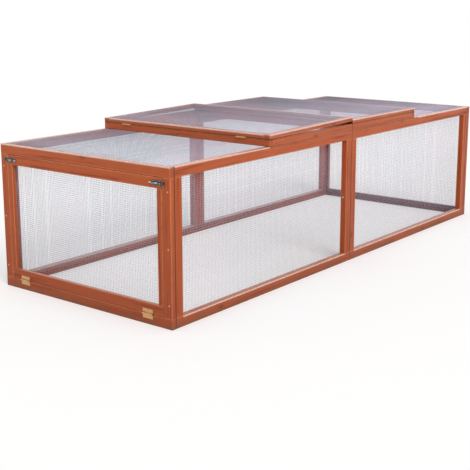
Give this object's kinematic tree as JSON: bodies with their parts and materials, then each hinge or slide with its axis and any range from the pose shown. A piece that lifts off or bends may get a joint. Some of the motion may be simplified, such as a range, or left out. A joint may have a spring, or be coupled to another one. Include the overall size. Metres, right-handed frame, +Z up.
{
  "type": "outdoor rabbit run",
  "caption": "Long low timber and wire mesh rabbit run of two joined modules, open below, with two lift-up roof lids and a drop-down end door.",
  "frame": {"origin": "on the ground, at the middle of the run's overall length and width", "axes": "+Z up, +X along the run from the door end to the back end, +Y across it to the left side"},
  "size_m": [3.667, 1.39, 0.9908],
  "materials": {
    "stained_timber": "red-brown stain",
    "galvanised_mesh": "galvanised",
    "yellow_zinc": "yellow passivated",
    "zinc_plate": "zinc plated"
  },
  "bodies": {
    "run_frame": {"front_right_top_rail": "stained_timber", "front_right_bottom_rail": "stained_timber", "front_right_stiles": "stained_timber", "front_right_mesh": "galvanised_mesh", "front_left_top_rail": "stained_timber", "front_left_bottom_rail": "stained_timber", "front_left_stiles": "stained_timber", "front_left_mesh": "galvanised_mesh", "front_roof_mesh": "galvanised_mesh", "front_curb_hinge_rail": "stained_timber", "front_curb_joint_rail": "stained_timber", "front_curb_side_rails": "stained_timber", "front_lid_hinge_fixed_leaves": "yellow_zinc", "front_lid_hinge_pins": "yellow_zinc", "back_right_top_rail": "stained_timber", "back_right_bottom_rail": "stained_timber", "back_right_stiles": "stained_timber", "back_right_mesh": "galvanised_mesh", "back_left_top_rail": "stained_timber", "back_left_bottom_rail": "stained_timber", "back_left_stiles": "stained_timber", "back_left_mesh": "galvanised_mesh", "back_roof_mesh": "galvanised_mesh", "back_curb_hinge_rail": "stained_timber", "back_curb_joint_rail": "stained_timber", "back_curb_side_rails": "stained_timber", "back_lid_hinge_fixed_leaves": "yellow_zinc", "back_lid_hinge_pins": "yellow_zinc", "door_frame_top_rail": "stained_timber", "door_frame_bottom_rail": "stained_timber", "door_frame_stiles": "stained_timber", "back_end_top_rail": "stained_timber", "back_end_bottom_rail": "stained_timber", "back_end_stiles": "stained_timber", "back_end_mesh": "galvanised_mesh", "joint_bolts": "zinc_plate", "joint_nuts": "zinc_plate", "door_bolt_keepers": "zinc_plate", "door_hinge_fixed_leaves": "yellow_zinc", "door_hinge_pins": "yellow_zinc"},
    "front_lid": {"front_lid_side_rails": "stained_timber", "front_lid_hinge_rail": "stained_timber", "front_lid_free_rail": "stained_timber", "front_lid_mesh": "galvanised_mesh", "front_lid_hinge_moving_leaves": "yellow_zinc"},
    "back_lid": {"back_lid_side_rails": "stained_timber", "back_lid_hinge_rail": "stained_timber", "back_lid_free_rail": "stained_timber", "back_lid_mesh": "galvanised_mesh", "back_lid_hinge_moving_leaves": "yellow_zinc"},
    "end_door": {"door_top_rail": "stained_timber", "door_bottom_rail": "stained_timber", "door_stiles": "stained_timber", "door_mesh": "galvanised_mesh", "door_hinge_moving_leaves": "yellow_zinc", "door_bolt_bodies": "zinc_plate"},
    "left_bolt": {"left_door_bolt_rod": "zinc_plate"},
    "right_bolt": {"right_door_bolt_rod": "zinc_plate"}
  },
  "joints": [
    {"name": "front_lid_hinge", "type": "hinge", "parent": "run_frame", "child": "front_lid", "pos_m": [-0.92995, 0, 0.9423], "axis": [0, -1, 0], "range_deg": [0, 178]},
    {"name": "back_lid_hinge", "type": "hinge", "parent": "run_frame", "child": "back_lid", "pos_m": [0.88905, 0, 0.9423], "axis": [0, 1, 0], "range_deg": [0, 178]},
    {"name": "end_door_hinge", "type": "hinge", "parent": "run_frame", "child": "end_door", "pos_m": [-1.81595, 0, 0.0615], "axis": [0, -1, 0], "range_deg": [0, 93]},
    {"name": "left_bolt_slide", "type": "slide", "parent": "end_door", "child": "left_bolt", "axis": [0, 1, 0], "range_m": [0, 0.022]},
    {"name": "right_bolt_slide", "type": "slide", "parent": "end_door", "child": "right_bolt", "axis": [0, -1, 0], "range_m": [0, 0.022]}
  ]
}
